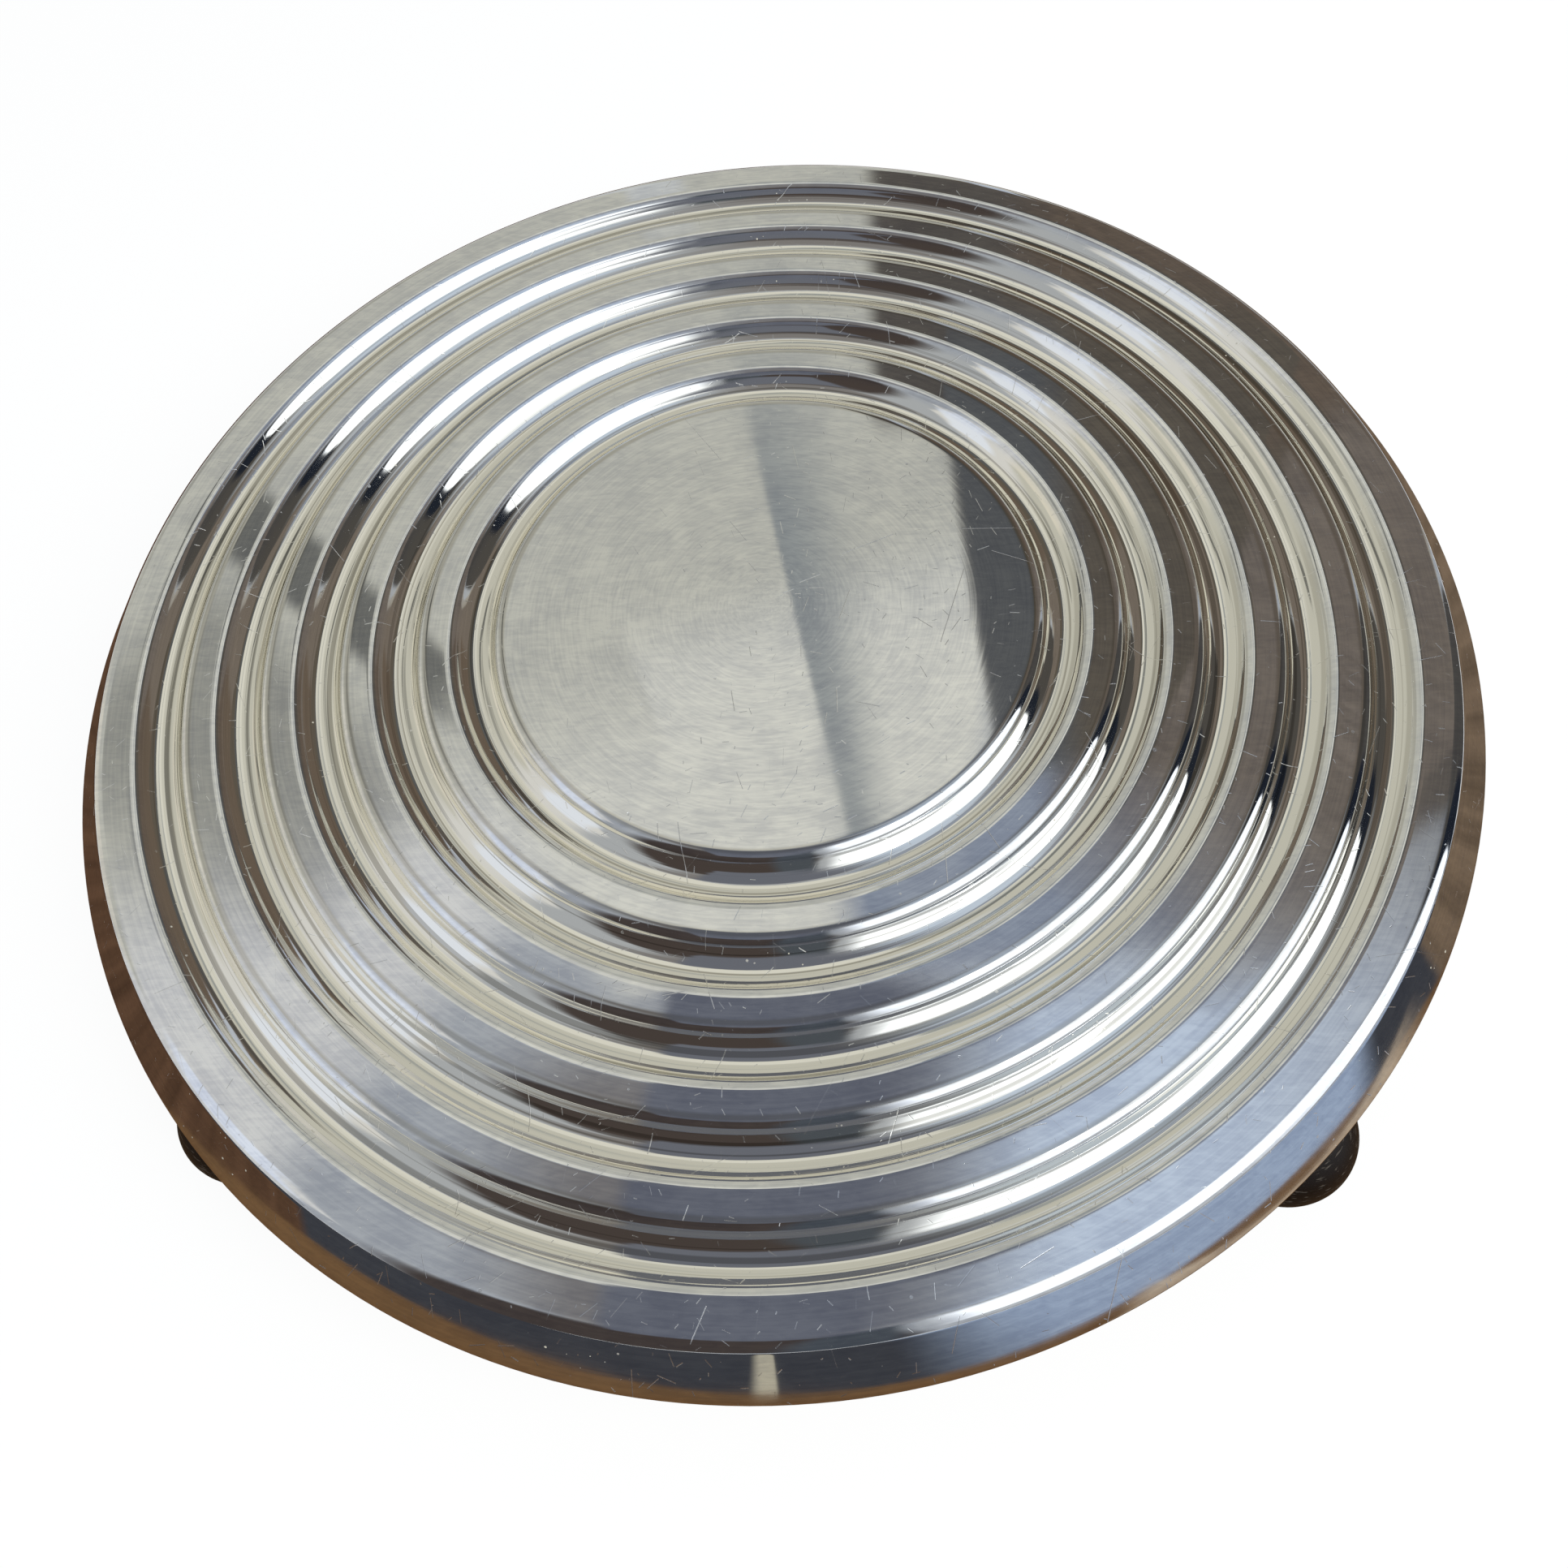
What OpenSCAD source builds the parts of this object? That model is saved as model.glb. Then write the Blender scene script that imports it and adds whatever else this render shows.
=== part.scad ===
// Round trivet: a spun, plated plate with concentric grooves on four turned ball feet.
// Millimetres, +Z up, origin on the floor under the middle of the plate.

/* [Plate] */
// Diameter across the hem
plate_d = 230; // [210:1:260]
// Thickness of the spun sheet
sheet_t = 0.9; // [0.6:0.1:1.2]
// Height of the lands above the base plate
skirt_drop = 7.5; // [6.5:0.1:9]
// Slope of the skirt below the horizontal, in degrees
skirt_slope = 48.5; // [44:0.5:56]
// Outside radius of the shoulder between the outer land and the skirt
shoulder_r = 2.8; // [1.6:0.1:3.6]
// Thickness of the hem that drops round the base plate, as a share of the sheet
hem_share = 0.8; // [0.7:0.05:0.9]

/* [Grooves] */
// Number of concentric grooves
groove_count = 5; // [1:1:6]
// Radial distance from one groove to the next
groove_pitch = 12.6; // [11.5:0.1:14]
// From the outside of the plate in to the middle of the outermost groove
groove_inset = 16.6; // [16:0.1:20]
// Width of a groove between its two lands
groove_w = 9.4; // [8.6:0.1:10.4]
// Depth of a groove below the lands
groove_depth = 2.5; // [2:0.1:2.8]
// Radius of the lips where a groove rolls over into its lands
lip_r = 2; // [1.4:0.1:2.6]

/* [Base] */
// Thickness of the base plate
base_t = 1; // [0.8:0.1:1.6]
// Gap all round between the base plate and the hem
base_fit = 0.1; // [0.05:0.05:0.3]

/* [Feet] */
// Diameter of a ball foot
ball_d = 22; // [18:0.5:26]
// Width of the flat ring that a foot stands on
stand_rim = 1.4; // [0.8:0.1:2]
// Diameter of the collar between the base plate and a ball
collar_d = 6; // [5:0.1:8]
// Height of the collar
collar_h = 4.5; // [3:0.1:8]
// From the collar out to the edge of the base plate
collar_margin = 1; // [0:0.1:3]

/* [Fasteners] */
// Diameter of a foot screw's shank
screw_d = 3; // [2:0.5:3.5]
// Diameter of a foot screw's head
head_d = 5.5; // [4.5:0.1:6.5]
// Height of a foot screw's head
head_h = 2; // [1.5:0.1:3]
// Width of the slot in the head
slot_w = 0.8; // [0.5:0.1:1.2]
// Depth of the slot in the head
slot_depth = 0.9; // [0.5:0.1:1.2]
// From the floor up to the face of the head
head_sink = 3.5; // [2:0.1:5]
// Diameter of the washer under the head
washer_d = 7; // [6.6:0.1:9]
// Thickness of the washer
washer_t = 0.5; // [0.3:0.1:1]
// Gap round the washer in the recess under a ball
recess_gap = 0.3; // [0.1:0.1:0.6]
// Gap round the shank in a ball and in a washer
shank_gap = 0.2; // [0.1:0.05:0.4]
// Gap round the shank in a collar's thread
thread_gap = 0.05; // [0.02:0.01:0.1]
// Space left in the collar beyond the tip of the screw
tip_gap = 0.9; // [0.5:0.1:2]

/* [Hidden] */
$fn = 96;
silver = "gainsboro";
ebonised_wood = [0.12, 0.1, 0.09];
brass = "goldenrod";

// Foot, from the floor up
recess_d = washer_d + 2 * recess_gap;
stand_d = recess_d + 2 * stand_rim;
ball_r = ball_d / 2;
ball_z = sqrt(pow(ball_r, 2) - pow(stand_d / 2, 2));
foot_h = ball_z + sqrt(pow(ball_r, 2) - pow(collar_d / 2, 2));
recess_h = head_sink + head_h + washer_t;
head_z = head_sink + head_h;
tip_z = foot_h + collar_h - tip_gap;

// Plate, from the base plate up
base_z = foot_h + collar_h;
skirt_end_z = base_z + base_t;
top_z = skirt_end_z + skirt_drop;

// Radii of the plate, from the outside in
hem_r = hem_share * sheet_t / 2;
hem_mid_r = plate_d / 2 - hem_r;
skirt_end_r = hem_mid_r + hem_r * sin(skirt_slope);
base_r = hem_mid_r - hem_r - base_fit;
foot_ring_r = base_r - collar_margin - collar_d / 2;
skirt_rise = skirt_drop - shoulder_r * (1 - cos(skirt_slope));
shoulder_mid_r = skirt_end_r - skirt_rise / tan(skirt_slope) - shoulder_r * sin(skirt_slope);

// A groove is one arc between two lips, all tangent to each other and to the lands
lip_arc = (pow(groove_w / 2, 2) + pow(groove_depth, 2)) / (2 * groove_depth);
groove_r = lip_arc - lip_r;
groove_mid_z = top_z - groove_depth + groove_r;
lip_slope = asin(groove_w / 2 / lip_arc);
groove_radii = [for (i = [0 : groove_count - 1]) plate_d / 2 - groove_inset - i * groove_pitch];

CORNERS = ["front_right", "back_right", "back_left", "front_left"];

// Half section of the space under the sheet's face, moved in by a distance
module under_face(inset) {
    shoulder = [shoulder_mid_r, top_z - shoulder_r];
    arc_r = shoulder_r - inset;
    polygon([
        [0, skirt_end_z],
        [skirt_end_r - inset / sin(skirt_slope), skirt_end_z],
        shoulder + arc_r * [sin(skirt_slope), cos(skirt_slope)],
        shoulder,
        [shoulder_mid_r, top_z - inset],
        [0, top_z - inset]
    ]);
    intersection() {
        translate(shoulder) circle(arc_r);
        translate(shoulder) square(2 * shoulder_r);
        translate(shoulder) rotate(-skirt_slope) translate([-shoulder_r, 0]) square(2 * shoulder_r);
    }
}

// Half section of one groove with its lips left standing at both sides, moved down by a distance
module groove_cut(inset) {
    bowl_r = groove_r + inset;
    bead_r = lip_r - inset;
    bead = [groove_w / 2, top_z - lip_r];
    tangent = [bowl_r * sin(lip_slope), groove_mid_z - bowl_r * cos(lip_slope)];
    translate([0, groove_mid_z]) circle(bowl_r);
    difference() {
        polygon([
            [-bead[0], top_z + inset],
            [-bead[0], bead[1]],
            [-tangent[0], tangent[1]],
            tangent,
            bead,
            [bead[0], top_z + inset]
        ]);
        for (side = [-1, 1]) translate([side * bead[0], bead[1]]) circle(bead_r);
    }
}

// Half section of the hem: a rounded strip from the skirt's outer face down round the base plate
module hem_section() {
    high_z = skirt_end_z - hem_r * cos(skirt_slope);
    low_z = base_z + hem_r;
    translate([hem_mid_r, high_z]) circle(hem_r);
    translate([hem_mid_r - hem_r, low_z]) square([2 * hem_r, high_z - low_z]);
    translate([hem_mid_r, low_z]) circle(hem_r);
}

// Half section of the spun sheet: the face, less the same shape one thickness below it
module shell_section() {
    difference() {
        under_face(0);
        for (r = groove_radii) translate([r, 0]) groove_cut(0);
        difference() {
            under_face(sheet_t);
            for (r = groove_radii) translate([r, 0]) groove_cut(sheet_t);
        }
    }
    hem_section();
}

module top_shell() {
    color(silver) rotate_extrude() shell_section();
}

module base_plate() {
    color(silver) translate([0, 0, base_z]) cylinder(h = base_t, r = base_r);
}

module collar() {
    color(silver) translate([0, 0, foot_h]) difference() {
        cylinder(h = collar_h, d = collar_d);
        cylinder(h = collar_h, r = screw_d / 2 + thread_gap);
    }
}

module foot() {
    color(ebonised_wood) difference() {
        intersection() {
            translate([0, 0, ball_z]) sphere(ball_r);
            cylinder(h = foot_h, r = ball_r);
        }
        cylinder(h = recess_h, d = recess_d);
        cylinder(h = foot_h, r = screw_d / 2 + shank_gap);
    }
}

module foot_washer() {
    color(brass) translate([0, 0, head_z]) difference() {
        cylinder(h = washer_t, d = washer_d);
        cylinder(h = washer_t, r = screw_d / 2 + shank_gap);
    }
}

module foot_screw() {
    color(brass) difference() {
        union() {
            translate([0, 0, head_sink]) cylinder(h = head_h, d = head_d);
            translate([0, 0, head_z]) cylinder(h = tip_z - head_z, d = screw_d);
        }
        translate([-head_d / 2, -slot_w / 2, head_sink]) cube([head_d, slot_w, slot_depth]);
    }
}

// Places its children on the axis of one foot
module at_corner(i) {
    rotate(90 * i - 45) translate([foot_ring_r, 0, 0]) children();
}

top_shell();
base_plate();
for (i = [0 : len(CORNERS) - 1]) {
    at_corner(i) collar();
    at_corner(i) foot();
    at_corner(i) foot_washer();
    at_corner(i) foot_screw();
}
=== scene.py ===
"""Looks of a round silver-plated trivet with concentric grooves on four turned ball feet."""
import math

import bmesh
import bpy
from bpy.props import FloatProperty, FloatVectorProperty, IntProperty, PointerProperty
from mathutils import Matrix, Vector


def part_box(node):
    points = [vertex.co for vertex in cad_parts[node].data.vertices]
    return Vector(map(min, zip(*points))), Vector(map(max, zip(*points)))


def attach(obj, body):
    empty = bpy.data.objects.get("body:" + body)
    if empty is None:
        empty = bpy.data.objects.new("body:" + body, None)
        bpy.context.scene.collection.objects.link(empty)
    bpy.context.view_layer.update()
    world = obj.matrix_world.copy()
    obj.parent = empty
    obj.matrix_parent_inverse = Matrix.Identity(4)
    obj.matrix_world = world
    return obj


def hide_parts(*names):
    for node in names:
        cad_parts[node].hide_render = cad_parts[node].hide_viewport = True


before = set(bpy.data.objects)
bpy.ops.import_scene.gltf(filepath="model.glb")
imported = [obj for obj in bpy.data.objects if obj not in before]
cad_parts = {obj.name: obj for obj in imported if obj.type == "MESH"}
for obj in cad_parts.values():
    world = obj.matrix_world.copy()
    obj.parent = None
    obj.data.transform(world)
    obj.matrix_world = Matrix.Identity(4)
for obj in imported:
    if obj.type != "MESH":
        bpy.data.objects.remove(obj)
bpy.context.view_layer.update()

bl_info = {
    "name": "Grooved Trivet",
    "version": (1, 0, 0),
    "blender": (4, 5, 0),
    "location": "View3D > Sidebar > Trivet",
    "description": "Dresses the packed trivet: spun plate, turned feet, their fasteners and a small studio",
    "category": "Object",
}

CORNERS = ("front_right", "back_right", "back_left", "front_left")
BODY = "root"

# Millimetres in metres
MM = 0.001
# Edges that turn by more than this are rounded
SHARP = math.radians(35)
# Steps round a collar, a washer or a screw
SMALL_STEPS = 64

shell_low, shell_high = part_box("top_shell")
base_low, base_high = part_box("base_plate")
collar_low, collar_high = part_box("collar_front_right")
foot_low, foot_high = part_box("foot_front_right")
washer_low, washer_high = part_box("foot_washer_front_right")
screw_low, screw_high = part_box("foot_screw_front_right")


def linear(hex_colour):
    """Linear RGBA of an sRGB hex colour"""
    shares = [int(hex_colour[i:i + 2], 16) / 255 for i in (1, 3, 5)]
    return [s / 12.92 if s <= 0.04045 else ((s + 0.055) / 1.055) ** 2.4 for s in shares] + [1.0]


def length(name, description, metres):
    """A length that a user would change"""
    return FloatProperty(name=name, description=description, default=metres, unit="LENGTH", precision=5)


def angle(name, description, degrees):
    """An angle that a user would change"""
    return FloatProperty(
        name=name, description=description, default=math.radians(degrees), subtype="ANGLE")


def tint(name, description, hex_colour):
    """A colour that a user would change"""
    return FloatVectorProperty(
        name=name, description=description, default=linear(hex_colour), size=4, min=0, max=1,
        subtype="COLOR")


class TrivetPlate(bpy.types.PropertyGroup):
    """Sizes of the spun plate and its base"""

    diameter: length("Diameter", "Across the hem", 230 * MM)
    top_z: length("Top", "Height of the lands above the floor", shell_high.z)
    skirt_end_z: length("Skirt end", "Height where the skirt ends on the base plate", base_high.z)
    hem_end_z: length("Hem end", "Height of the lower end of the hem", shell_low.z)
    sheet: length("Sheet", "Thickness of the spun sheet", 0.9 * MM)
    skirt_slope: angle("Skirt slope", "Slope of the skirt below the horizontal", 48.5)
    shoulder_r: length("Shoulder", "Radius between the outer land and the skirt", 2.8 * MM)
    hem_t: length("Hem", "Thickness of the hem that drops round the base plate", 0.72 * MM)
    groove_count: IntProperty(
        name="Grooves", description="Number of concentric grooves", default=5, min=1)
    groove_pitch: length("Groove pitch", "Radial distance from one groove to the next", 12.6 * MM)
    groove_inset: length(
        "Groove inset", "From the outside in to the middle of the outermost groove", 16.6 * MM)
    groove_w: length("Groove width", "Width of a groove between its two lands", 9.4 * MM)
    groove_depth: length("Groove depth", "Depth of a groove below the lands", 2.5 * MM)
    lip_r: length("Lip", "Radius where a groove rolls over into its lands", 2 * MM)
    spin_steps: IntProperty(
        name="Steps", description="Steps of the spin round the plate", default=256, min=64)


class TrivetFeet(bpy.types.PropertyGroup):
    """Sizes of the ball feet and what holds them"""

    ball_d: length("Ball", "Diameter of a ball foot", 22 * MM)
    stand_d: length("Stand", "Outside diameter of the ring that a foot stands on", 10.4 * MM)
    recess_d: length("Recess", "Diameter of the recess under a ball", 7.6 * MM)
    bore_d: length("Bore", "Diameter of the hole through a ball and a washer", 3.4 * MM)
    thread_d: length("Thread", "Diameter of the hole in a collar", 3.1 * MM)
    collar_d: length("Collar", "Diameter of the collar above a ball", 6 * MM)
    washer_d: length("Washer", "Diameter of the washer under a screw's head", 7 * MM)
    head_d: length("Head", "Diameter of a screw's head", 5.5 * MM)
    head_h: length("Head height", "Height of a screw's head", 2 * MM)
    shank_d: length("Shank", "Diameter of a screw's shank", 3 * MM)
    slot_w: length("Slot", "Width of the slot in a screw's head", 0.8 * MM)
    slot_depth: length("Slot depth", "Depth of the slot in a screw's head", 0.9 * MM)


class TrivetFinish(bpy.types.PropertyGroup):
    """Colours of the finishes"""

    silver: tint("Silver", "Silver plate in the grooves, where it is whole", "#F8F5EC")
    rubbed: tint("Rubbed silver", "Silver plate on the lands, rubbed by dishes", "#F5F5F3")
    dull: tint("Dull silver", "Silver plate between the strokes of the last wipe", "#DBDCDF")
    tarnish: tint("Tarnish", "Silver plate where the buff missed it", "#BEBAB0")
    # Brass also colours the hem: plate worn through there, and partly a painted golden reflection
    brass: tint("Brass", "Spun and turned brass, and the plate where it is worn through", "#B98F52")
    brown: tint("Brown brass", "Tarnish on the turned brass", "#5E4526")
    wood: tint("Wood", "Ebonised wood of the feet", "#120D0A")
    pore: tint("Pores", "Open pores of the wood, filled with pale polish", "#6F675D")
    # Also tints the scratches thinly: a trace of polish, and partly painted sheen that makes them read light
    polish_and_sheen: tint("Residue", "Dried polish left in the grooves", "#D9D3BF")


class TrivetView(bpy.types.PropertyGroup):
    """Where the camera stands"""

    turn: angle("Turn", "Way round the plate from its front towards its right", 6.6)
    elevation: angle("Elevation", "How steeply the camera looks down", 64.42)
    roll: angle("Roll", "Lean of the camera to its right", -5.84)
    distance: length("Distance", "From the camera to the middle of the top, along its view", 181.1 * MM)
    right: length("Right", "How far the camera stands to its right", 11.6 * MM)
    up: length("Up", "How far the camera stands up its picture", -29.4 * MM)
    lens: FloatProperty(name="Lens", description="Focal length for a 36 mm sensor", default=25.475)
    shift: FloatProperty(name="Shift", description="Sideways shift of the lens", default=-0.0344)


class Profile:
    """A wire outline in the XZ plane, drawn with bmesh operators and then spun about Z"""

    # Length of the strip at each end of a straight stretch that keeps its shading flat
    hold = 0.15 * MM
    # Points closer than this are one
    weld = 1e-7

    def __init__(self, r, z):
        self.bm = bmesh.new()
        self.tip = self.bm.verts.new((r, 0, z))
        self.start = (r, z)

    def line(self, r, z):
        """Draws a straight stretch to radius r and height z"""
        start = self.tip.co.copy()
        end = Vector((r, 0, z))
        share = min(self.hold / (end - start).length, 0.25)
        for along in (share, 1 - share, 1):
            self.tip = bmesh.ops.extrude_vert_indiv(self.bm, verts=[self.tip])["verts"][0]
            self.tip.co = start.lerp(end, along)

    def arc(self, r, z, turn, steps):
        """Turns clockwise about the point at radius r and height z"""
        swept = bmesh.ops.spin(
            self.bm, geom=[self.tip], cent=(r, 0, z), axis=(0, 1, 0), angle=turn, steps=steps)
        self.tip = next(item for item in swept["geom_last"] if isinstance(item, bmesh.types.BMVert))

    def close(self):
        """Draws the last stretch back to the start"""
        self.line(*self.start)

    def spin(self, steps):
        """Spins the outline all the way round and returns the closed bmesh"""
        bm = self.bm
        bmesh.ops.remove_doubles(bm, verts=bm.verts, dist=self.weld)
        bmesh.ops.spin(
            bm, geom=bm.verts[:] + bm.edges[:], cent=(0, 0, 0), axis=(0, 0, 1), angle=2 * math.pi,
            steps=steps, use_merge=True)
        bmesh.ops.remove_doubles(bm, verts=bm.verts, dist=self.weld)
        bmesh.ops.recalc_face_normals(bm, faces=bm.faces)
        return bm


def soften(bm, width):
    """Rounds the sharp edges of a bmesh"""
    sharp = [edge for edge in bm.edges if edge.calc_face_angle(0) > SHARP]
    bmesh.ops.bevel(
        bm, geom=sharp, offset=width, offset_type="OFFSET", affect="EDGES", segments=3, profile=0.5,
        material=-1, clamp_overlap=True)
    return bm


def tube(inner_d, outer_d, low_z, high_z, edge):
    """A short tube about Z with rounded edges"""
    outline = Profile(inner_d / 2, low_z)
    outline.line(outer_d / 2, low_z)
    outline.line(outer_d / 2, high_z)
    outline.line(inner_d / 2, high_z)
    outline.close()
    return soften(outline.spin(SMALL_STEPS), edge)


def make_piece(name, bm, material, node, place=Matrix()):
    """Turns a bmesh into a smooth piece that stands for a CAD node and rides on the part's one body"""
    bmesh.ops.transform(bm, matrix=place, verts=bm.verts)
    mesh = bpy.data.meshes.new(name)
    bm.to_mesh(mesh)
    bm.free()
    mesh.shade_smooth()
    mesh.materials.append(material)
    piece = bpy.data.objects.new(name, mesh)
    bpy.context.scene.collection.objects.link(piece)
    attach(piece, BODY)
    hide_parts(node)


def foot_place(corner):
    """Turns and moves a piece made about the origin onto the axis of one foot"""
    low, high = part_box(f"collar_{corner}")
    middle = (low + high) / 2
    turn = math.atan2(middle.y, middle.x)
    return Matrix.Translation((middle.x, middle.y, 0)) @ Matrix.Rotation(turn, 4, "Z")


def add_node(tree, kind, inputs=(), **settings):
    """Adds a node with its settings, and sets or links its inputs"""
    made = tree.nodes.new(kind)
    for name, value in settings.items():
        setattr(made, name, value)
    for socket, value in dict(inputs).items():
        if isinstance(value, bpy.types.NodeSocket):
            tree.links.new(value, made.inputs[socket])
        else:
            made.inputs[socket].default_value = value
    return made


def new_material(name):
    """A material with an empty node tree"""
    material = bpy.data.materials.new(name)
    material.use_nodes = True
    material.node_tree.nodes.clear()
    return material, material.node_tree


def hairlines(tree, position, cell, reach, width):
    """Straight scratches of random turn, length and depth in half the cells of the plane, 0 to 1"""
    cells = add_node(tree, "ShaderNodeTexVoronoi", {
        "Vector": position,
        "Scale": 1 / cell,
    }, voronoi_dimensions="2D")
    chance = add_node(tree, "ShaderNodeSeparateColor", {"Color": cells.outputs["Color"]})
    offset = add_node(tree, "ShaderNodeVectorMath", {
        0: position,
        1: cells.outputs["Position"],
    }, operation="SUBTRACT")
    way = add_node(tree, "ShaderNodeMath", {0: chance.outputs["Red"], 1: math.pi}, operation="MULTIPLY")
    turned = add_node(tree, "ShaderNodeVectorRotate", {
        "Vector": offset.outputs["Vector"],
        "Angle": way.outputs["Value"],
    }, rotation_type="Z_AXIS")
    size = add_node(tree, "ShaderNodeVectorMath", {0: turned.outputs["Vector"]}, operation="ABSOLUTE")
    apart = add_node(tree, "ShaderNodeSeparateXYZ", {"Vector": size.outputs["Vector"]})
    end = add_node(tree, "ShaderNodeMath", {
        0: chance.outputs["Green"],
        1: reach / 2,
    }, operation="MULTIPLY")
    along = add_node(tree, "ShaderNodeMath", {
        0: apart.outputs["X"],
        1: end.outputs["Value"],
    }, operation="LESS_THAN")
    across = add_node(tree, "ShaderNodeMapRange", {
        "Value": apart.outputs["Y"],
        "From Min": 0.3 * width,
        "From Max": 0.7 * width,
        "To Min": 1.0,
        "To Max": 0.0,
    })
    depth = add_node(tree, "ShaderNodeMapRange", {"Value": chance.outputs["Blue"], "From Min": 0.5})
    line = add_node(tree, "ShaderNodeMath", {
        0: along.outputs["Value"],
        1: across.outputs["Result"],
    }, operation="MULTIPLY")
    return add_node(tree, "ShaderNodeMath", {
        0: line.outputs["Value"],
        1: depth.outputs["Result"],
    }, operation="MULTIPLY").outputs["Value"]


def dots(tree, position, cell, radius):
    """Round spots, one to a cell and of random size, 0 to 1"""
    cells = add_node(tree, "ShaderNodeTexVoronoi", {"Vector": position, "Scale": 1 / cell})
    chance = add_node(tree, "ShaderNodeSeparateColor", {"Color": cells.outputs["Color"]})
    edge = add_node(tree, "ShaderNodeMath", {
        0: chance.outputs["Red"],
        1: radius / cell,
    }, operation="MULTIPLY")
    return add_node(tree, "ShaderNodeMath", {
        0: cells.outputs["Distance"],
        1: edge.outputs["Value"],
    }, operation="LESS_THAN").outputs["Value"]


def wiping_strokes(tree, position, flat, radius):
    """Strokes of the last wipe: arcs round the plate and crooked ones across it, 0 to 2"""
    # Arcs, in truth finer: drawn 0.4 mm apart and 0.2 radians long, which is 12 mm half-way out
    arc_w = 0.4
    arc_turn = 0.2
    way = add_node(tree, "ShaderNodeVectorMath", {0: flat}, operation="NORMALIZE")
    out = add_node(tree, "ShaderNodeCombineXYZ", {"Z": radius})
    round_at = add_node(tree, "ShaderNodeVectorMath", {
        0: way.outputs["Vector"],
        1: (arc_w / arc_turn, arc_w / arc_turn, 0),
        2: out.outputs["Vector"],
    }, operation="MULTIPLY_ADD")
    arcs = add_node(tree, "ShaderNodeTexNoise", {
        "Vector": round_at.outputs["Vector"],
        "Scale": 1 / arc_w,
        "Detail": 2.0,
        "Distortion": 0.5,
    })
    # Crooked ones, drawn 0.8 mm apart and 3 mm long
    across_at = add_node(tree, "ShaderNodeMapping", {
        "Vector": position,
        "Rotation": (0, 0, math.radians(-25)),
        "Scale": (1 / 3, 1 / 0.8, 1),
    })
    across = add_node(tree, "ShaderNodeTexNoise", {
        "Vector": across_at.outputs["Vector"],
        "Scale": 1.0,
        "Detail": 3.0,
        "Distortion": 0.8,
    })
    return add_node(tree, "ShaderNodeMath", {
        0: arcs.outputs["Fac"],
        1: across.outputs["Fac"],
    }, operation="ADD").outputs["Value"]


def lip_lines(tree, radius, plate):
    """A line 0.8 mm wide just inside the inner lip of each groove, 0 to 0.65"""
    outermost = (plate.diameter / 2 - plate.groove_inset - plate.groove_w / 2) / MM + 0.2
    half_pitch = plate.groove_pitch / 2 / MM
    # Past the first and the last line the radius stands still, half-way to a next one
    among = add_node(tree, "ShaderNodeClamp", {
        "Value": radius,
        "Min": outermost - (2 * plate.groove_count - 1) * half_pitch,
        "Max": outermost + half_pitch,
    })
    offset = add_node(tree, "ShaderNodeMath", {
        0: among.outputs["Result"],
        1: outermost,
    }, operation="SUBTRACT")
    apart = add_node(tree, "ShaderNodeMath", {
        0: offset.outputs["Value"],
        1: half_pitch,
    }, operation="PINGPONG")
    return add_node(tree, "ShaderNodeMapRange", {
        "Value": apart.outputs["Value"],
        "From Min": 0.2,
        "From Max": 0.6,
        "To Min": 0.65,
        "To Max": 0.0,
    }).outputs["Result"]


def hem_wear_and_painted_gold(tree, radius, height, mottle, plate):
    """Patches on the hem, and up to 0.8 mm above it, rubbed through to the brass and partly a painted golden
    reflection, 0 to 0.5
    """
    edge = plate.diameter / 2 / MM
    rubbed = add_node(tree, "ShaderNodeMapRange", {
        "Value": height,
        "From Min": plate.skirt_end_z - 0.2 * MM,
        "From Max": plate.skirt_end_z + 0.8 * MM,
        "To Min": 0.5,
        "To Max": 0.0,
    })
    # Only the outermost 2 or 3 mm, so the underside keeps its plate
    rim = add_node(tree, "ShaderNodeMapRange", {
        "Value": radius,
        "From Min": edge - 3,
        "From Max": edge - 2,
    })
    brass_share = add_node(tree, "ShaderNodeMath", {0: rubbed.outputs["Result"], 1: mottle}, operation="MULTIPLY")
    return add_node(tree, "ShaderNodeMath", {
        0: brass_share.outputs["Value"],
        1: rim.outputs["Result"],
    }, operation="MULTIPLY").outputs["Value"]


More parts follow.
